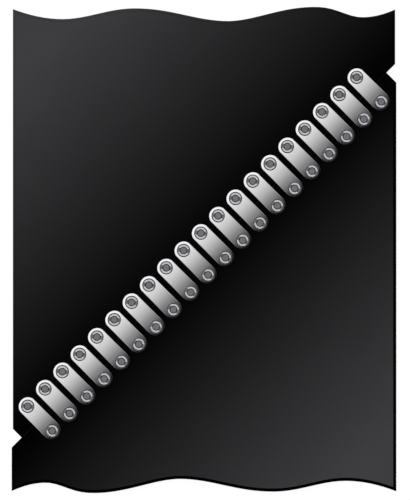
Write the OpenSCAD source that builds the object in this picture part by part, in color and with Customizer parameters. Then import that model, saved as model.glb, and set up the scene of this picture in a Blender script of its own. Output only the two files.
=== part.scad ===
// Bias-cut conveyor belt splice held by a strip of bolted plate fasteners.
// +Z is up, out of the carrying cover. +Y runs along the belt, +X across it.
// The origin is the middle of the section's box, on the plane that the bottom plates stand on.

/* [Belt] */
// Width of the leading belt end between its moulded edges
belt_w = 500; // [300:10:640]
// Width by which the trailing belt end is wider than the leading one
trailing_extra_w = 3.2; // [0:0.2:8]
// Thickness of the belt with both covers
belt_t = 12; // [10:0.5:18]
// Length of the section, between the highest crests of its two cut ends
section_len = 636; // [620:1:900]
// Depth of the waves in the two cut ends
wave_depth = 18.5; // [4:0.5:30]
// Radius of the rounded belt edges
belt_edge_r = 4.4; // [1:0.1:4.8]

/* [Splice] */
// Angle of the bias cut, from straight across the belt
bias_angle = 45; // [30:1:46]
// Distance of the splice's middle ahead of the section's middle
splice_shift = -6.7; // [-20:0.1:20]
// Width of the sharp corner that is trimmed off each belt end
corner_trim = 11.5; // [6:0.5:20]
// Gap between the two butted belt ends
seam_gap = 0; // [0:0.1:2]
// Bevel along the cut edges at the seam
seam_bevel = 0.6; // [0.2:0.1:1.5]
// Least distance from the belt's edge to the middle of a plate, along the seam
row_margin = 45; // [40:0.5:80]
// Distance of the row of plates ahead of the seam
row_ahead = 0.6; // [-2:0.1:2]
// Distance of the row's middle from the belt's middle, along the seam
row_along = 1.4; // [-5:0.1:5]

/* [Plates] */
// Distance from one plate to the next along the seam
plate_pitch = 32; // [29:0.1:45]
// Width of a plate
plate_w = 24.7; // [22:0.1:28]
// Distance between the two bolts of a plate
bolt_spacing = 45.3; // [40:0.1:56]
// Thickness of the crowned top plate
top_plate_t = 3.6; // [3.2:0.1:5]
// Thickness of the flat bottom plate
bottom_plate_t = 4; // [3.6:0.1:6]
// Radius that the top plate is crowned to
crown_r = 180; // [140:5:400]
// Radius of a plate's outer rim
plate_rim_r = 1.6; // [0.4:0.1:2]
// Depth that the middle of the top plate is drawn into the belt
top_bite = 0.4; // [0.2:0.1:1.5]
// Depth that the bottom plate is drawn into the belt
bottom_bite = 1.8; // [0.5:0.1:2.4]

/* [Teeth] */
// Diameter of a plate's tooth at its root
tooth_d = 3.2; // [2:0.1:4]
// Length of a tooth below the plate's face
tooth_len = 2.6; // [1:0.1:3]
// Diameter of a tooth's blunted point
tooth_tip_d = 0.6; // [0.2:0.1:1]
// Number of teeth at each end of a plate
tooth_count = 3; // [1:1:5]
// Distance from a plate's rim to its teeth
tooth_inset = 0.9; // [0.5:0.1:2]
// Angle between neighbouring teeth, seen from the bolt
tooth_angle = 50; // [30:1:60]

/* [Bolts] */
// Diameter of the bolt
bolt_d = 8; // [6:0.1:9]
// Width by which the countersunk bolt head is smaller than the nut's base
head_margin = 0.2; // [0:0.1:2]
// Height of the straight rim of the head
head_rim_h = 0.5; // [0.2:0.1:1]
// Height of the head's cone
head_cone_h = 1.9; // [1.2:0.1:2.2]
// Depth of the head below the bottom plate's outer face
head_recess = 0.3; // [0.1:0.1:0.5]
// Depth of the dressed bolt end below the nut's top
bolt_end_recess = 0.4; // [0:0.1:1]

/* [Nuts] */
// Diameter of the nut's top face
nut_top_d = 14.9; // [12:0.1:15]
// Diameter of the nut's base
nut_base_d = 17.3; // [15:0.1:18.4]
// Height of the nut above its seat
nut_h = 2.6; // [2:0.1:4]
// Height of the straight band at the nut's base
nut_band_h = 0.8; // [0.3:0.1:1.5]
// Diameter of the pilot collar that centres the nut in its plate
pilot_d = 11.6; // [10.5:0.1:12.5]
// Length of the pilot collar
pilot_len = 3; // [2:0.1:4]
// Width of the two wrench slots
slot_w = 5.2; // [2:0.1:6]
// Depth of the wrench slots
slot_depth = 1; // [0.8:0.1:1.8]
// Diameter of the counterbore at the mouth of the nut's thread
mouth_d = 10.1; // [9.2:0.1:11]
// Depth of that counterbore
mouth_depth = 1.7; // [1:0.1:1.8]
// Turn of the wrench slots from straight across the belt, leading row
leading_nut_turn = -8; // [-90:1:90]
// Turn of the wrench slots from straight across the belt, trailing row
trailing_nut_turn = -28; // [-90:1:90]

/* [Clearances] */
// Gap between a plate's side and the rubber that it is drawn into
plate_gap = 0.2; // [0.1:0.05:0.5]
// Gap round a nut's base, its pilot collar, a bolt's neck and a bolt's head
metal_gap = 0.2; // [0.1:0.05:0.4]
// Gap between the bolt and the nut's thread
thread_gap = 0.05; // [0.02:0.01:0.1]
// Gap between the bolt or the pilot collar and the rubber
hole_gap = 0.25; // [0.1:0.05:0.5]
// Lowest part of the rim round a nut's recess, above the recess floor
recess_lip = 0.3; // [0.1:0.1:0.6]

/* [Hidden] */
$fn = 64;
over = 1;            // how far a cutting shape runs past the face that it cuts
end_clear = 0.03;    // how far the plane of a round end stands off the crown
end_bulge = 0.15;    // how far a plate's round ends stand past half its width
crown_facets = 240;  // sides drawn for a full turn of the crown

// Crests and troughs of a cut end: place as a share of half the width, depth as a share of wave_depth,
// and skew of the run to the next one. The first and the last lie beyond the belt's edges.
wave_stations = [
    [-1.58, -2.36, 1], [-0.74, 0.86, 0.97], [-0.363, 0.1, 1.07], [0.128, 1, 0.89],
    [0.578, 0, 1.2], [0.828, 0.73, 1], [1.46, -2.46, 1]
];
wave_steps = 60;  // sections along a cut end
rim_steps = 5;    // steps round the rim of a cut end

// Heights, from the plane that the bottom plates stand on
belt_z0 = bottom_plate_t - bottom_bite;
belt_z1 = belt_z0 + belt_t;
crown_z = belt_z1 - top_bite + top_plate_t;
crown_axis_z = crown_z - crown_r;

// The crown runs to the ends of the plate, and each rounded end lies in a plane just clear of it
crown_sweep = asin((bolt_spacing / 2 + plate_w / 2 + plate_rim_r + over) / crown_r);
touch_y = bolt_spacing / 2 + 0.3 * plate_w;
end_tilt = asin(touch_y / crown_r);
end_plane_z = crown_axis_z + (crown_r + end_clear) * cos(end_tilt)
    + (touch_y + end_clear * sin(end_tilt) - bolt_spacing / 2) * tan(end_tilt);
bolt_head_d = nut_base_d - head_margin;
recess_r = nut_base_d / 2 + metal_gap;
nut_z = crown_axis_z + sqrt(pow(crown_r, 2) - pow(bolt_spacing / 2 + recess_r, 2)) - recess_lip;
nut_top_z = nut_z + nut_h;
bolt_end_z = nut_top_z - bolt_end_recess;
tooth_root = 0.8;  // how far a tooth is let into its plate
tooth_ring_r = plate_w / 2 - tooth_inset - tooth_d / 2;

// The row of plates along the seam
seam_len = belt_w / cos(bias_angle);
plate_count = 1 + floor((seam_len - 2 * row_margin) / plate_pitch);

LEADING = 1;
TRAILING = -1;

function numbered(name, i) = str(name, i < 10 ? "_0" : "_", i);

// Height of a cut end above the section's middle at a share s of half the belt's width
function wave_span(s, i = 0) =
    i == len(wave_stations) - 2 || s < wave_stations[i + 1][0] ? i : wave_span(s, i + 1);
function wave_drop(s, a, b) =
    let (t = pow((s - a[0]) / (b[0] - a[0]), a[2])) a[1] + (b[1] - a[1]) * (1 - cos(180 * t)) / 2;
function cut_end_y(x) =
    let (s = x / (belt_w / 2), i = wave_span(s))
    section_len / 2 - wave_depth * wave_drop(s, wave_stations[i], wave_stations[i + 1]);

// Outline of the rounded rim of a cut end, as [distance back from the end, height], bottom to top.
// Its two ends run on past the covers, so that the waste cuts them cleanly.
function rim_arc(k) = let (a = 90 * k / rim_steps) [belt_edge_r * (1 - cos(a)), belt_edge_r * (1 - sin(a))];
rim_half = [for (k = [0 : rim_steps - 1]) rim_arc(k)];
rim_run = rim_arc(rim_steps) - rim_arc(rim_steps - 1);
rim_chain = let (past = rim_arc(rim_steps) + rim_run) concat(
    [[past[0], belt_z0 + past[1]]],
    [for (k = [rim_steps - 1 : -1 : 0]) [rim_half[k][0], belt_z0 + rim_half[k][1]]],
    [for (k = [0 : rim_steps - 1]) [rim_half[k][0], belt_z1 - rim_half[k][1]]],
    [[past[0], belt_z1 - past[1]]]
);

// The waste beyond a wavy cut end, lofted across the belt
module cut_end_waste(width) {
    half = width / 2 + over;
    rows = wave_steps + 1;
    cols = len(rim_chain);
    xs = [for (i = [0 : wave_steps]) -half + 2 * half * i / wave_steps];
    rim = [for (x = xs, c = rim_chain) [x, cut_end_y(x) - c[0], c[1]]];
    far = [for (x = xs, c = rim_chain) [x, section_len, c[1]]];
    beyond = rows * cols;
    last = (rows - 1) * cols;
    polyhedron(
        points = concat(rim, far),
        faces = concat(
            [for (i = [0 : rows - 2], k = [0 : cols - 2]) let (a = i * cols + k)
                [a, a + 1, a + cols + 1, a + cols]],
            [for (i = [0 : rows - 2], k = [0 : cols - 2]) let (a = beyond + i * cols + k)
                [a, a + cols, a + cols + 1, a + 1]],
            [for (i = [0 : rows - 2]) let (a = i * cols) [a, a + cols, beyond + a + cols, beyond + a]],
            [for (i = [0 : rows - 2]) let (a = (i + 1) * cols - 1)
                [a, beyond + a, beyond + a + cols, a + cols]],
            [for (k = [0 : cols - 2]) [k, beyond + k, beyond + k + 1, k + 1]],
            [for (k = [0 : cols - 2]) let (a = last + k) [a, a + 1, beyond + a + 1, beyond + a]]
        )
    );
}

// Section across the belt, with its moulded edges rounded
module belt_profile(width) {
    translate([-width / 2 + belt_edge_r, belt_z0]) square([width - 2 * belt_edge_r, belt_t]);
    translate([-width / 2, belt_z0 + belt_edge_r]) square([width, belt_t - 2 * belt_edge_r]);
    for (x = [-1, 1], z = [belt_z0 + belt_edge_r, belt_z1 - belt_edge_r])
        translate([x * (width / 2 - belt_edge_r), z]) circle(belt_edge_r);
}

// Section square to the seam, from the bevelled cut edge to far ahead of it
module seam_profile() {
    y0 = seam_gap / 2;
    run = seam_bevel + over;
    polygon([
        [y0, belt_z0 + seam_bevel], [y0 + run, belt_z0 - over], [2 * section_len, belt_z0 - over],
        [2 * section_len, belt_z1 + over], [y0 + run, belt_z1 + over], [y0, belt_z1 - seam_bevel]
    ]);
}

// Places a frame on the seam: X along it, Y square to it and ahead
module at_seam(shift) {
    translate([0, shift, 0]) rotate(bias_angle) children();
}

// One belt end before it is punched. It lies ahead of a seam shifted by shift.
module belt_slab(shift, width) {
    trim_along = (corner_trim - belt_w / 2) / cos(bias_angle);
    difference() {
        intersection() {
            rotate([90, 0, 0]) linear_extrude(2 * section_len, center = true) belt_profile(width);
            at_seam(shift) rotate([90, 0, 90]) linear_extrude(4 * section_len, center = true) seam_profile();
        }
        at_seam(shift) translate([trim_along - seam_len, -over, -over])
            cube([seam_len, seam_len, belt_z1 + 2 * over]);
        cut_end_waste(width);
    }
}

// Places a plate's own frame: X along the seam, Y towards the leading belt end
module at_plate(i) {
    along = (i - (plate_count + 1) / 2) * plate_pitch;
    at_seam(splice_shift) translate([along + row_along, row_ahead, 0]) children();
}

module at_bolt(side) {
    translate([0, side * bolt_spacing / 2, 0]) children();
}

// Half of a plate's section with its outer face at zero and its rim rounded
module rim_profile(r, t, rim) {
    translate([0, -t]) square([r, t - rim]);
    translate([0, -t]) square([r - rim, t]);
    translate([r - rim, -rim]) intersection() {
        circle(rim);
        square(rim);
    }
}

module slab_profile(r, t, rim) {
    rim_profile(r, t, rim);
    mirror([1, 0]) rim_profile(r, t, rim);
}

// Places the plane that grazes the crown near the plate's end, on the bolt's line
module at_end_plane(side) {
    at_bolt(side) translate([0, 0, end_plane_z]) rotate([-side * end_tilt, 0, 0]) children();
}

// What is trimmed off the crowned strip to round one end of a plate
module end_waste(side) {
    reach = 2 * plate_w;
    difference() {
        translate([-reach, side == LEADING ? bolt_spacing / 2 : -bolt_spacing / 2 - reach, 0])
            cube([2 * reach, reach, crown_z + over]);
        at_end_plane(side) rotate_extrude()
            rim_profile(plate_w / 2 + end_bulge, 2 * top_plate_t, plate_rim_r);
    }
}

// A crowned plate without its holes
module crowned_blank() {
    difference() {
        translate([0, 0, crown_axis_z]) rotate([0, -90, 0])
            rotate_extrude(angle = 2 * crown_sweep, start = -crown_sweep, $fn = crown_facets)
                translate([crown_r, 0]) rotate(-90)
                    slab_profile(plate_w / 2, top_plate_t, plate_rim_r);
        for (side = [LEADING, TRAILING]) end_waste(side);
    }
}

// A flat plate without its holes, outer face down
module flat_blank() {
    r = plate_w / 2;
    mirror([0, 0, 1]) {
        rotate([90, 0, 0]) translate([0, 0, -bolt_spacing / 2])
            linear_extrude(bolt_spacing) slab_profile(r, bottom_plate_t, plate_rim_r);
        for (side = [LEADING, TRAILING])
            at_bolt(side) rotate_extrude(angle = side * 180, start = 0)
                rim_profile(r, bottom_plate_t, plate_rim_r);
    }
}

// Outline of a plate's seat in the rubber, with round ends
module seat_outline() {
    r = plate_w / 2 + end_bulge + plate_gap;
    square([2 * r, bolt_spacing], center = true);
    for (side = [LEADING, TRAILING]) at_bolt(side) circle(r);
}

// What the top plate presses out of the rubber, down to its own crowned underside
module top_seat() {
    difference() {
        linear_extrude(belt_z1 + over) seat_outline();
        translate([0, 0, crown_axis_z]) rotate([0, 90, 0])
            cylinder(h = 2 * plate_w, r = crown_r - top_plate_t, center = true, $fn = crown_facets);
    }
}

// What the bottom plate presses out of the rubber
module bottom_seat() {
    linear_extrude(bottom_plate_t) seat_outline();
}

// The teeth round one end of a plate, pointing up from a face at zero, with roots let into the plate
module tooth_ring(side) {
    taper = (tooth_d - tooth_tip_d) / tooth_len;
    for (k = [1 : tooth_count]) {
        turn = side * 90 + (k - (tooth_count + 1) / 2) * tooth_angle;
        translate([tooth_ring_r * cos(turn), tooth_ring_r * sin(turn), -tooth_root])
            cylinder(h = tooth_len + tooth_root, d1 = tooth_d + taper * tooth_root, d2 = tooth_tip_d);
    }
}

module top_teeth(side) {
    at_end_plane(side) translate([0, 0, -top_plate_t]) mirror([0, 0, 1]) tooth_ring(side);
}

module bottom_teeth(side) {
    at_bolt(side) translate([0, 0, bottom_plate_t]) tooth_ring(side);
}

module top_plate() {
    color("silver") difference() {
        union() {
            crowned_blank();
            for (side = [LEADING, TRAILING]) top_teeth(side);
        }
        for (side = [LEADING, TRAILING]) at_bolt(side) {
            translate([0, 0, nut_z]) cylinder(h = crown_z - nut_z + over, r = recess_r);
            cylinder(h = crown_z + over, d = pilot_d + 2 * metal_gap);
        }
    }
}

// The head's shape, and with a gap the seat that it lies in
module bolt_head(gap = 0) {
    d = bolt_head_d + 2 * gap;
    neck = bolt_d + 2 * gap;
    rim_z = head_recess + head_rim_h;
    translate([0, 0, gap > 0 ? -over : head_recess])
        cylinder(h = rim_z - (gap > 0 ? -over : head_recess), d = d);
    translate([0, 0, rim_z]) cylinder(h = head_cone_h, d1 = d, d2 = neck);
    translate([-neck / 2, -neck / 2, rim_z]) cube([neck, neck, bottom_plate_t - rim_z + (gap > 0 ? over : 0)]);
}

module bottom_plate() {
    color("silver") difference() {
        union() {
            flat_blank();
            for (side = [LEADING, TRAILING]) bottom_teeth(side);
        }
        for (side = [LEADING, TRAILING]) at_bolt(side) bolt_head(metal_gap);
    }
}

module bolt() {
    bolt_head();
    translate([0, 0, head_recess]) cylinder(h = bolt_end_z - head_recess, d = bolt_d);
}

module nut(turn) {
    bore_d = bolt_d + 2 * thread_gap;
    difference() {
        union() {
            translate([0, 0, nut_z]) cylinder(h = nut_band_h, d = nut_base_d);
            translate([0, 0, nut_z + nut_band_h])
                cylinder(h = nut_h - nut_band_h, d1 = nut_base_d, d2 = nut_top_d);
            translate([0, 0, nut_z - pilot_len]) cylinder(h = pilot_len + nut_band_h, d = pilot_d);
        }
        translate([0, 0, nut_z - pilot_len - over]) cylinder(h = pilot_len + nut_h + 2 * over, d = bore_d);
        translate([0, 0, nut_top_z - mouth_depth]) cylinder(h = mouth_depth + over, d = mouth_d);
        rotate(turn - bias_angle) translate([-nut_base_d, -slot_w / 2, nut_top_z - slot_depth])
            cube([2 * nut_base_d, slot_w, slot_depth + over]);
    }
}

// Everything that one fastener presses or punches into the belt end on its side
module belt_punch(side) {
    top_seat();
    bottom_seat();
    top_teeth(side);
    bottom_teeth(side);
    at_bolt(side) {
        cylinder(h = belt_z1, d = bolt_d + 2 * hole_gap);
        translate([0, 0, nut_z - pilot_len - hole_gap])
            cylinder(h = pilot_len + hole_gap, d = pilot_d + 2 * hole_gap);
    }
}

// A belt end lies ahead of the seam when side is LEADING and behind it when side is TRAILING
module belt_end(side) {
    width = side == LEADING ? belt_w : belt_w + trailing_extra_w;
    color("#1c1c1e") difference() {
        rotate(side == LEADING ? 0 : 180) belt_slab(side * splice_shift, width);
        for (i = [1 : plate_count]) at_plate(i) belt_punch(side);
    }
}

module bolt_row(side) {
    color("dimgray") for (i = [1 : plate_count]) at_plate(i) at_bolt(side) bolt();
}

module nut_row(side, turn) {
    color("gainsboro") for (i = [1 : plate_count]) at_plate(i) at_bolt(side) nut(turn);
}

belt_end(LEADING);  // leading_belt_end
belt_end(TRAILING);  // trailing_belt_end
for (i = [1 : plate_count]) {
    at_plate(i) top_plate();
    at_plate(i) bottom_plate();
}
bolt_row(LEADING);  // leading_bolts
bolt_row(TRAILING);  // trailing_bolts
nut_row(LEADING, leading_nut_turn);  // leading_nuts
nut_row(TRAILING, trailing_nut_turn);  // trailing_nuts
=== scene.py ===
import math

import bmesh
import bpy
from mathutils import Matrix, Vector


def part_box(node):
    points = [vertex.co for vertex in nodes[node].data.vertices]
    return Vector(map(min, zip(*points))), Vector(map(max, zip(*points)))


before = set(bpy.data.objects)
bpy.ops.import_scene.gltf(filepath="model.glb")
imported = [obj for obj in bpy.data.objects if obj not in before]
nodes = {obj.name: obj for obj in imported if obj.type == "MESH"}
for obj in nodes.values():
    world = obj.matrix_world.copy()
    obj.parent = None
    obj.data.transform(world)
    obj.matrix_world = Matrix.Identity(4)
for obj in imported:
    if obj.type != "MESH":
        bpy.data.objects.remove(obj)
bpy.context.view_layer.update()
print("loaded", len(nodes), "nodes")

# where the joint lies: the patterns below follow the seam and the row of fasteners
splice = {
    "biasDegrees": 45,
    "shift": -6.7,        # mm along the belt, from its middle to the seam's middle
    "rowAhead": 0.6,      # mm from the seam to the row's middle, square to the seam
    "rowAlong": 1.4,      # mm from the seam's middle to the row's middle, along the seam
    "pitch": 32,          # mm from plate to plate
    "boltSpacing": 45.3,  # mm between the two bolts of a plate
    "coverTop": 14.2,     # mm above the underside of the bottom plates
    "coverMiddle": 8.2,   # mm above the underside of the bottom plates
}


def hexColour(code):
    # sRGB to linear
    channels = [int(code[i:i + 2], 16) / 255 for i in (1, 3, 5)]
    linear = [c / 12.92 if c <= 0.04045 else ((c + 0.055) / 1.055) ** 2.4 for c in channels]
    return (*linear, 1)


def addNode(tree, kind, inputs=None, **settings):
    node = tree.nodes.new("ShaderNode" + kind)
    for name, value in settings.items():
        setattr(node, name, value)
    for name, value in (inputs or {}).items():
        if isinstance(value, bpy.types.NodeSocket):
            tree.links.new(value, node.inputs[name])
        else:
            node.inputs[name].default_value = value
    return node


def newMaterial(name):
    material = bpy.data.materials.new(name)
    material.use_nodes = True
    tree = material.node_tree
    return material, tree, tree.nodes["Principled BSDF"]


def metres(millimetres):
    return millimetres / 1000


def perMetre(millimetres):
    return 1 / metres(millimetres)  # noise scale for a grain of this size


def seamCoords(tree):
    # x runs along the seam and y square to it, in metres, from the middle of the splice
    place = addNode(tree, "TexCoord").outputs["Object"]
    moved = addNode(tree, "VectorMath", {
        0: place,
        1: (0, -metres(splice["shift"]), 0),
    }, operation="ADD").outputs[0]
    return addNode(tree, "VectorRotate", {
        "Vector": moved,
        "Angle": -math.radians(splice["biasDegrees"]),
    }, rotation_type="Z_AXIS").outputs[0]


def faceNormal(tree):
    # y runs lengthwise on the belt, and z is 1 on a face that lies flat
    normal = addNode(tree, "NewGeometry").outputs["True Normal"]
    return addNode(tree, "SeparateXYZ", {0: normal}).outputs


# vulcanised carbon-black rubber, press moulded: matt and black, with a painted sheen that turns it grey
# further from the seam, painted shade on its rounded edges, a painted highlight along the seam, and the
# ends of the fabric plies in its cut faces
coverRubber = {
    # the cover's own black, and the grey of a painted sheen away from the seam
    "rubberBlack": "#010101",
    "sheenGrey": "#3a3a3c",
    "sheenReach": 337,     # mm from the seam to the full painted sheen
    "sheenRise": 1.45,     # how late the painted sheen sets in: 1 is evenly
    "mottle": 60,          # mm
    "mottleDetail": 4,
    "mottleSpread": 0.06,  # how far the mottle changes the painted sheen, either way
    "leadingEdgeShade": 0.2,    # painted shade: how much of the painted sheen is taken off the rounded edges
    "trailingEdgeShade": 1,     # painted shade: the rounded edges are painted black
    "edgeNormal": 0.9992,  # a normal's z on the rounded edges
    "flatNormal": 0.9998,  # a normal's z on the flat
    "sideSheen": 0.75,     # how much of the painted sheen stays on the upright sides
    "sideFrom": 0.4,       # a normal's z where the sides begin
    "sideTo": 0.1,         # a normal's z where they are upright
    "cut": "#101010",      # painted highlight: a lighter line along the seam
    "cutWidth": 0.7,       # mm
    "fabric": "#7d776c",
    "endFrom": 0.5,        # a normal's y where the cut ends begin
    "endTo": 0.6,          # a normal's y where the plies show in full
    "plyPitch": 1.5,       # mm
    "carcass": 6,          # mm of plies in the middle of the belt
    "yarn": 2.5,           # mm, drawn coarser than the yarns so that it shows
    "yarnDetail": 2,
    "plyShadeShare": 0.3,         # how far the painted black on the edges hides the plies
    "grain": 1.6,          # mm, drawn coarser than the cover's own grain so that it shows
    "grainDetail": 3,
    "bump": 0.08,
    "bumpHeight": 0.2,     # mm
    "roughness": 0.85,
    "specular": 0.01,
}


def makeCoverRubber(name, values, edgeShade):
    material, tree, shader = newMaterial(name)
    seam = seamCoords(tree)
    place = addNode(tree, "SeparateXYZ", {0: seam}).outputs
    facing = faceNormal(tree)

    # painted sheen that grows away from the seam, a little uneven, and painted shade that takes it off
    # the edges
    away = addNode(tree, "Math", {0: place["Y"]}, operation="ABSOLUTE").outputs[0]
    share = addNode(tree, "Math", {
        0: away,
        1: metres(values["sheenReach"]),
    }, operation="DIVIDE").outputs[0]
    sheen = addNode(tree, "Math", {
        0: share,
        1: values["sheenRise"],
    }, operation="POWER", use_clamp=True).outputs[0]
    mottle = addNode(tree, "TexNoise", {
        "Vector": seam,
        "Scale": perMetre(values["mottle"]),
        "Detail": values["mottleDetail"],
    }).outputs["Fac"]
    uneven = addNode(tree, "MapRange", {
        "Value": mottle,
        "To Min": 1 - values["mottleSpread"],
        "To Max": 1 + values["mottleSpread"],
    }).outputs[0]
    paintedSheen = addNode(tree, "Math", {0: sheen, 1: uneven}, operation="MULTIPLY").outputs[0]
    # painted shade on the rounded edges: they lose some of the painted sheen, all of it on the trailing
    # belt
    flatUnshaded = addNode(tree, "MapRange", {
        "Value": facing["Z"],
        "From Min": values["edgeNormal"],
        "From Max": values["flatNormal"],
        "To Min": 1 - edgeShade,
    }).outputs[0]
    upright = addNode(tree, "MapRange", {
        "Value": facing["Z"],
        "From Min": values["sideFrom"],
        "From Max": values["sideTo"],
        "To Max": values["sideSheen"],
    }).outputs[0]
    kept = addNode(tree, "Math", {0: flatUnshaded, 1: upright}, operation="MAXIMUM").outputs[0]
    paintedSheen = addNode(tree, "Math", {0: paintedSheen, 1: kept}, operation="MULTIPLY").outputs[0]
    colour = addNode(tree, "Mix", {
        "Factor": paintedSheen,
        "A": hexColour(values["rubberBlack"]),
        "B": hexColour(values["sheenGrey"]),
    }, data_type="RGBA", clamp_factor=False).outputs["Result"]

    # a painted highlight: a thin lighter line along the seam
    cut = addNode(tree, "Math", {
        0: away,
        1: metres(values["cutWidth"]),
    }, operation="LESS_THAN").outputs[0]
    colour = addNode(tree, "Mix", {
        "Factor": cut,
        "A": colour,
        "B": hexColour(values["cut"]),
    }, data_type="RGBA").outputs["Result"]

    # ends of the fabric plies, in the faces that cut across the belt
    lengthwise = addNode(tree, "Math", {0: facing["Y"]}, operation="ABSOLUTE").outputs[0]
    severed = addNode(tree, "MapRange", {
        "Value": lengthwise,
        "From Min": values["endFrom"],
        "From Max": values["endTo"],
    }).outputs[0]
    middle = metres(splice["coverMiddle"])
    inside = addNode(tree, "Math", {
        0: place["Z"],
        1: middle,
        2: metres(values["carcass"] / 2),
    }, operation="COMPARE").outputs[0]
    raised = addNode(tree, "Math", {0: place["Z"], 1: middle}, operation="SUBTRACT").outputs[0]
    turns = addNode(tree, "Math", {
        0: raised,
        1: math.tau * perMetre(values["plyPitch"]),
    }, operation="MULTIPLY").outputs[0]
    band = addNode(tree, "Math", {0: turns}, operation="SINE").outputs[0]
    yarns = addNode(tree, "TexNoise", {
        "Vector": seam,
        "Scale": perMetre(values["yarn"]),
        "Detail": values["yarnDetail"],
    }).outputs["Fac"]
    woven = addNode(tree, "Math", {0: band, 1: yarns}, operation="MULTIPLY", use_clamp=True).outputs[0]
    plies = addNode(tree, "Math", {0: woven, 1: inside}, operation="MULTIPLY").outputs[0]
    # the painted shade on the edges hides some of the plies too
    bared = addNode(tree, "Math", {
        0: severed,
        1: 1 - values["plyShadeShare"] * edgeShade,
    }, operation="MULTIPLY").outputs[0]
    plies = addNode(tree, "Math", {0: plies, 1: bared}, operation="MULTIPLY").outputs[0]
    colour = addNode(tree, "Mix", {
        "Factor": plies,
        "A": colour,
        "B": hexColour(values["fabric"]),
    }, data_type="RGBA").outputs["Result"]
    tree.links.new(colour, shader.inputs["Base Color"])

    grain = addNode(tree, "TexNoise", {
        "Vector": seam,
        "Scale": perMetre(values["grain"]),
        "Detail": values["grainDetail"],
    }).outputs["Fac"]
    bump = addNode(tree, "Bump", {
        "Height": grain,
        "Strength": values["bump"],
        "Distance": metres(values["bumpHeight"]),
    }).outputs[0]
    tree.links.new(bump, shader.inputs["Normal"])
    shader.inputs["Roughness"].default_value = values["roughness"]
    shader.inputs["Specular IOR Level"].default_value = values["specular"]
    return material


# pressed mild steel, barrel tumbled: an even satin that shows soft light as a smooth fade,
# with painted shade, near black, on the trailing ends and rims of the top plates
tumbledSteel = {
    "colour": "#acacac",
    # painted shade on the trailing ends of the top plates
    "trailingShade": "#1c1c1d",
    "trailingShadeFrom": 26,      # mm behind the row's middle where the painted shade begins
    "trailingShadeTo": 34,        # mm behind the row's middle where it is thickest
    "trailingShadeCover": 0.85,   # how much of the steel it hides there
    "rimShadeFrom": 18,   # mm behind the row's middle where painted shade begins on the rounded rims
    "rimShadeTo": 25,     # mm behind the row's middle where it covers them in full
    "rimFrom": 0.98,     # a normal's z where the rims begin
    "rimTo": 0.917,      # a normal's z where they take the most painted shade
    "roughness": 0.12,
    "roughnessSpread": 0.03,
    "grainAcross": 0.5,  # mm
    "grainAlong": 14,    # mm
    "grainDetail": 3,
    "bump": 0.05,
    "bumpHeight": 0.1,   # mm
}


def makeTumbledSteel(values):
    material, tree, shader = newMaterial("mildSteelTumbled")
    seam = seamCoords(tree)
    place = addNode(tree, "SeparateXYZ", {0: seam}).outputs

    # a fine grain that runs along the plates
    fine = perMetre(values["grainAcross"])
    long = perMetre(values["grainAlong"])
    stretched = addNode(tree, "VectorMath", {
        0: seam,
        1: (fine, long, fine),
    }, operation="MULTIPLY").outputs[0]
    grain = addNode(tree, "TexNoise", {
        "Vector": stretched,
        "Scale": 1,
        "Detail": values["grainDetail"],
    }).outputs["Fac"]
    rough = addNode(tree, "MapRange", {
        "Value": grain,
        "To Min": values["roughness"] - values["roughnessSpread"],
        "To Max": values["roughness"] + values["roughnessSpread"],
    }).outputs[0]
    bump = addNode(tree, "Bump", {
        "Height": grain,
        "Strength": values["bump"],
        "Distance": metres(values["bumpHeight"]),
    }).outputs[0]
    tree.links.new(rough, shader.inputs["Roughness"])
    tree.links.new(bump, shader.inputs["Normal"])

    # painted shade on the trailing ends, and further up their rims
    tailShade = addNode(tree, "MapRange", {
        "Value": place["Y"],
        "From Min": metres(splice["rowAhead"] - values["trailingShadeFrom"]),
        "From Max": metres(splice["rowAhead"] - values["trailingShadeTo"]),
        "To Max": values["trailingShadeCover"],
    }).outputs[0]
    rimTailShade = addNode(tree, "MapRange", {
        "Value": place["Y"],
        "From Min": metres(splice["rowAhead"] - values["rimShadeFrom"]),
        "From Max": metres(splice["rowAhead"] - values["rimShadeTo"]),
    }).outputs[0]
    steep = addNode(tree, "MapRange", {
        "Value": faceNormal(tree)["Z"],
        "From Min": values["rimFrom"],
        "From Max": values["rimTo"],
    }).outputs[0]
    rim = addNode(tree, "Math", {0: rimTailShade, 1: steep}, operation="MULTIPLY").outputs[0]
    trailingShade = addNode(tree, "Math", {0: tailShade, 1: rim}, operation="MAXIMUM").outputs[0]
    above = addNode(tree, "Math", {
        0: place["Z"],
        1: metres(splice["coverMiddle"]),
    }, operation="GREATER_THAN").outputs[0]  # none of the painted shade goes on the bottom plates
    trailingShade = addNode(tree, "Math", {0: trailingShade, 1: above}, operation="MULTIPLY").outputs[0]
    colour = addNode(tree, "Mix", {
        "Factor": trailingShade,
        "A": hexColour(values["colour"]),
        "B": hexColour(values["trailingShade"]),
    }, data_type="RGBA").outputs["Result"]
    tree.links.new(colour, shader.inputs["Base Color"])
    shader.inputs["Metallic"].default_value = 1
    return material


# turned steel, black oxide: bright where the top face was ground flush,
# with painted shade, near black, in the slots and down the sides
oxideSteel = {
    "colour": "#b7b8bb",
    "oxide": "#666669",
    # painted shade, near black, for the slots and the sides
    "creviceShade": "#161617",
    "oxideDepth": 0.25,   # mm below the top face
    "creviceShadeDepth": 1.3,  # mm below the top face, where the painted shade begins
    "roughness": 0.3,
    "ringSpacing": 0.5,   # mm
    "bump": 0.1,
}

# plain carbon steel, end dressed with a grinding disc: dull grey, in rings about the bolt
groundSteel = {
    "colour": "#6b6c70",
    "oxide": "#59595b",
    # painted shade, near black, for the sides and what lies deeper than the dressed end
    "creviceShade": "#161617",
    "oxideDepth": 0.3,    # mm below the dressed end
    "creviceShadeDepth": 0.6,  # mm below the dressed end, where the painted shade begins
    "roughness": 0.4,
    "ringSpacing": 0.4,   # mm
    "bump": 0.15,
}

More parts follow.
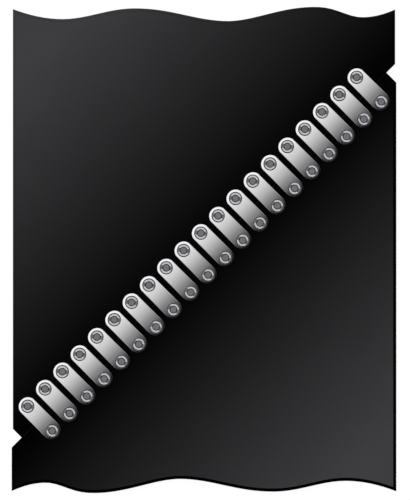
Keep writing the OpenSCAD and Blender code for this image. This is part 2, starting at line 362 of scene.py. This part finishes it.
# what the nuts and the bolts have in common
turnedSteel = {
    "blend": 0.25,            # share of the oxide's depth in which one colour gives way to the next
    "slopeNormal": 0.8,       # a normal's z on the sides, which get painted shade
    "flatNormal": 0.95,       # a normal's z on the flat faces, which get none
    "roughnessSpread": 0.04,  # between the rings
    "bumpHeight": 0.02,       # mm
}


def makeTurnedSteel(name, values, shared, topFace):
    material, tree, shader = newMaterial(name)
    place = addNode(tree, "SeparateXYZ", {0: seamCoords(tree)}).outputs
    facing = faceNormal(tree)["Z"]

    # bare metal at the top, oxide below it, and painted shade on the sides and in the slots
    depth = metres(values["oxideDepth"])
    blend = depth * shared["blend"]
    bare = addNode(tree, "MapRange", {
        "Value": place["Z"],
        "From Min": topFace - depth,
        "From Max": topFace - blend,
    }).outputs[0]
    colour = addNode(tree, "Mix", {
        "Factor": bare,
        "A": hexColour(values["oxide"]),
        "B": hexColour(values["colour"]),
    }, data_type="RGBA").outputs["Result"]
    flatUnshaded = addNode(tree, "MapRange", {
        "Value": facing,
        "From Min": shared["slopeNormal"],
        "From Max": shared["flatNormal"],
    }).outputs[0]
    deep = topFace - metres(values["creviceShadeDepth"])
    high = addNode(tree, "MapRange", {
        "Value": place["Z"],
        "From Min": deep - blend,
        "From Max": deep + blend,
    }).outputs[0]
    unshaded = addNode(tree, "Math", {0: flatUnshaded, 1: high}, operation="MINIMUM").outputs[0]
    under = addNode(tree, "MapRange", {
        "Value": facing,
        "From Min": -shared["slopeNormal"],
        "From Max": -shared["flatNormal"],
    }).outputs[0]  # the outer faces of the bolt heads
    unshaded = addNode(tree, "Math", {0: unshaded, 1: under}, operation="MAXIMUM").outputs[0]
    colour = addNode(tree, "Mix", {
        "Factor": unshaded,
        "A": hexColour(values["creviceShade"]),
        "B": colour,
    }, data_type="RGBA").outputs["Result"]
    tree.links.new(colour, shader.inputs["Base Color"])

    # rings about the middle of each bolt
    pitch = metres(splice["pitch"])
    fromRow = addNode(tree, "Math", {
        0: place["X"],
        1: metres(splice["rowAlong"]),
    }, operation="SUBTRACT").outputs[0]
    along = addNode(tree, "Math", {0: fromRow, 1: pitch, 2: 0}, operation="WRAP").outputs[0]
    across = addNode(tree, "Math", {0: along, 1: pitch / 2}, operation="SUBTRACT").outputs[0]
    ahead = addNode(tree, "Math", {
        0: place["Y"],
        1: metres(splice["rowAhead"]),
    }, operation="SUBTRACT").outputs[0]
    apart = addNode(tree, "Math", {0: ahead}, operation="ABSOLUTE").outputs[0]
    offBolt = addNode(tree, "Math", {
        0: apart,
        1: metres(splice["boltSpacing"] / 2),
    }, operation="SUBTRACT").outputs[0]
    spoke = addNode(tree, "CombineXYZ", {"X": across, "Y": offBolt}).outputs[0]
    radius = addNode(tree, "VectorMath", {0: spoke}, operation="LENGTH").outputs["Value"]
    turns = addNode(tree, "Math", {
        0: radius,
        1: math.tau * perMetre(values["ringSpacing"]),
    }, operation="MULTIPLY").outputs[0]
    ring = addNode(tree, "Math", {0: turns}, operation="SINE").outputs[0]
    rough = addNode(tree, "MapRange", {
        "Value": ring,
        "From Min": -1,
        "To Min": values["roughness"] - shared["roughnessSpread"],
        "To Max": values["roughness"] + shared["roughnessSpread"],
    }).outputs[0]
    bump = addNode(tree, "Bump", {
        "Height": ring,
        "Strength": values["bump"],
        "Distance": metres(shared["bumpHeight"]),
    }).outputs[0]
    tree.links.new(rough, shader.inputs["Roughness"])
    tree.links.new(bump, shader.inputs["Normal"])
    shader.inputs["Metallic"].default_value = 1
    return material


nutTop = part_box("leading_nuts")[1].z
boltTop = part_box("leading_bolts")[1].z
finishes = {
    # two copies of the rubber that differ only in the painted shade on their edges
    "leading_belt": makeCoverRubber("coverRubberEdgesShadedLightly", coverRubber, coverRubber["leadingEdgeShade"]),
    "trailing_belt": makeCoverRubber("coverRubberEdgesShadedBlack", coverRubber, coverRubber["trailingEdgeShade"]),
    "plate": makeTumbledSteel(tumbledSteel),
    "nuts": makeTurnedSteel("turnedSteelBlackOxide", oxideSteel, turnedSteel, nutTop),
    "bolts": makeTurnedSteel("carbonSteelGround", groundSteel, turnedSteel, boltTop),
}
for name, piece in nodes.items():
    finish = next(key for key in finishes if key in name)
    piece.data.materials.clear()
    piece.data.materials.append(finishes[finish])
print("dressed the nodes in", len(finishes), "finishes")

studio = {
    "light": "#ffffff",
    "bright": 2.05,      # the lit side of the soft light overhead
    "dark": 0.006,       # the side away from it
    "fade": 0.345,       # how far the edge between them reaches either side of overhead
    "rim": 0.8,          # how much brighter the light is further down on the lit side
    "rimFrom": 0.6,      # in fades from overhead
    "rimTo": 1.6,        # in fades from overhead
    "fill": 0.4,         # how much brighter it is further down on the side away from it
    "fillTo": 1.45,      # in fades from overhead
    "lowBright": 1.35,   # the walls, on the lit side
    "lowDark": 0.5,      # the walls, on the side away from it
    "ceiling": 0.65,     # height in the sky where the ceiling begins to give way to the walls
    "wall": 0.35,        # height in the sky where the walls begin
    "lean": 0.2,         # how much further down the ceiling comes on the side away from the light
    "fromDegrees": 135,  # the lit side, turned from +X: the photograph's upper left
    "paper": "#e7e7e7",
    "floorSize": 60,     # m
    "floorDrop": 0.1,    # mm that the floor lies below the plates, so that no two faces share a place
    "floorLift": 0.93,   # how much of the floor's white doesn't depend on shadow
    "floorGlow": 1.03,
}


def makeStudioLight(values):
    world = bpy.data.worlds.new("studioLight")
    bpy.context.scene.world = world
    world.use_nodes = True
    tree = world.node_tree
    background = tree.nodes["Background"]
    angle = math.radians(values["fromDegrees"])
    towards = (math.cos(angle), math.sin(angle), 0)
    aim = addNode(tree, "TexCoord").outputs["Generated"]
    side = addNode(tree, "VectorMath", {0: aim, 1: towards}, operation="DOT_PRODUCT").outputs["Value"]

    # the soft light overhead, from its lit side to its dark side
    fade = values["fade"]
    level = addNode(tree, "MapRange", {
        "Value": side,
        "From Min": -fade,
        "From Max": fade,
        "To Min": values["dark"],
        "To Max": values["bright"],
    }, interpolation_type="SMOOTHSTEP").outputs[0]
    rim = addNode(tree, "MapRange", {
        "Value": side,
        "From Min": values["rimFrom"] * fade,
        "From Max": values["rimTo"] * fade,
        "To Max": values["rim"],
    }, interpolation_type="SMOOTHSTEP").outputs[0]
    level = addNode(tree, "Math", {0: level, 1: rim}, operation="ADD").outputs[0]
    fill = addNode(tree, "MapRange", {
        "Value": side,
        "From Min": -fade,
        "From Max": -values["fillTo"] * fade,
        "To Max": values["fill"],
    }, interpolation_type="SMOOTHSTEP").outputs[0]
    overhead = addNode(tree, "Math", {0: level, 1: fill}, operation="ADD").outputs[0]

    # the walls below it
    around = addNode(tree, "MapRange", {
        "Value": side,
        "From Min": -1,
        "To Min": values["lowDark"],
        "To Max": values["lowBright"],
    }, interpolation_type="SMOOTHSTEP").outputs[0]
    up = (-values["lean"] * towards[0], -values["lean"] * towards[1], 1)
    height = addNode(tree, "VectorMath", {0: aim, 1: up}, operation="DOT_PRODUCT").outputs["Value"]
    share = addNode(tree, "MapRange", {
        "Value": height,
        "From Min": values["wall"],
        "From Max": values["ceiling"],
    }, interpolation_type="SMOOTHSTEP").outputs[0]
    level = addNode(tree, "Mix", {"Factor": share, "A": around, "B": overhead}).outputs["Result"]
    tree.links.new(level, background.inputs["Strength"])
    background.inputs["Color"].default_value = hexColour(values["light"])


def makeFloor(values):
    material, tree, shader = newMaterial("paperFloor")
    tree.nodes.remove(shader)
    output = tree.nodes["Material Output"]
    path = addNode(tree, "LightPath").outputs
    seen = addNode(tree, "Math", {
        0: path["Is Camera Ray"],
        1: path["Is Glossy Ray"],
    }, operation="MAXIMUM").outputs[0]
    seen = addNode(tree, "Math", {
        0: seen,
        1: path["Is Transmission Ray"],
    }, operation="MAXIMUM").outputs[0]
    paper = addNode(tree, "BsdfDiffuse", {"Color": hexColour(values["paper"])}).outputs[0]
    white = addNode(tree, "Emission", {
        "Color": hexColour(values["light"]),
        "Strength": values["floorGlow"],
    }).outputs[0]
    lit = addNode(tree, "MixShader", {"Fac": values["floorLift"], 1: paper, 2: white}).outputs[0]
    mixed = addNode(tree, "MixShader", {"Fac": seen, 1: paper, 2: lit}).outputs[0]
    tree.links.new(mixed, output.inputs["Surface"])
    mesh = bpy.data.meshes.new("floor")
    sheet = bmesh.new()
    bmesh.ops.create_grid(sheet, x_segments=1, y_segments=1, size=values["floorSize"] / 2)
    bmesh.ops.translate(sheet, verts=sheet.verts, vec=(0, 0, -metres(values["floorDrop"])))
    sheet.to_mesh(mesh)
    sheet.free()
    mesh.materials.append(material)
    floor = bpy.data.objects.new("floor", mesh)
    bpy.context.scene.collection.objects.link(floor)


makeStudioLight(studio)
makeFloor(studio)
print("lit the stage")

view = {
    "frameHeight": 653.6,  # mm across the taller side of the image, on the belt's cover
    "aside": 1.3,          # mm that the image's middle lies to the right of the belt's
    "height": 6000,        # mm from the underside of the bottom plates to the lens
    "sensor": 36,          # mm
}


def makeCamera(values):
    camera = bpy.data.objects.new("camera", bpy.data.cameras.new("camera"))
    camera.location = (metres(values["aside"]), 0, metres(values["height"]))
    camera.data.sensor_width = values["sensor"]
    camera.data.lens = values["sensor"] * (values["height"] - splice["coverTop"]) / values["frameHeight"]
    bpy.context.scene.collection.objects.link(camera)
    bpy.context.scene.camera = camera


makeCamera(view)
bpy.context.scene.view_settings.view_transform = "Standard"
print("set the camera")
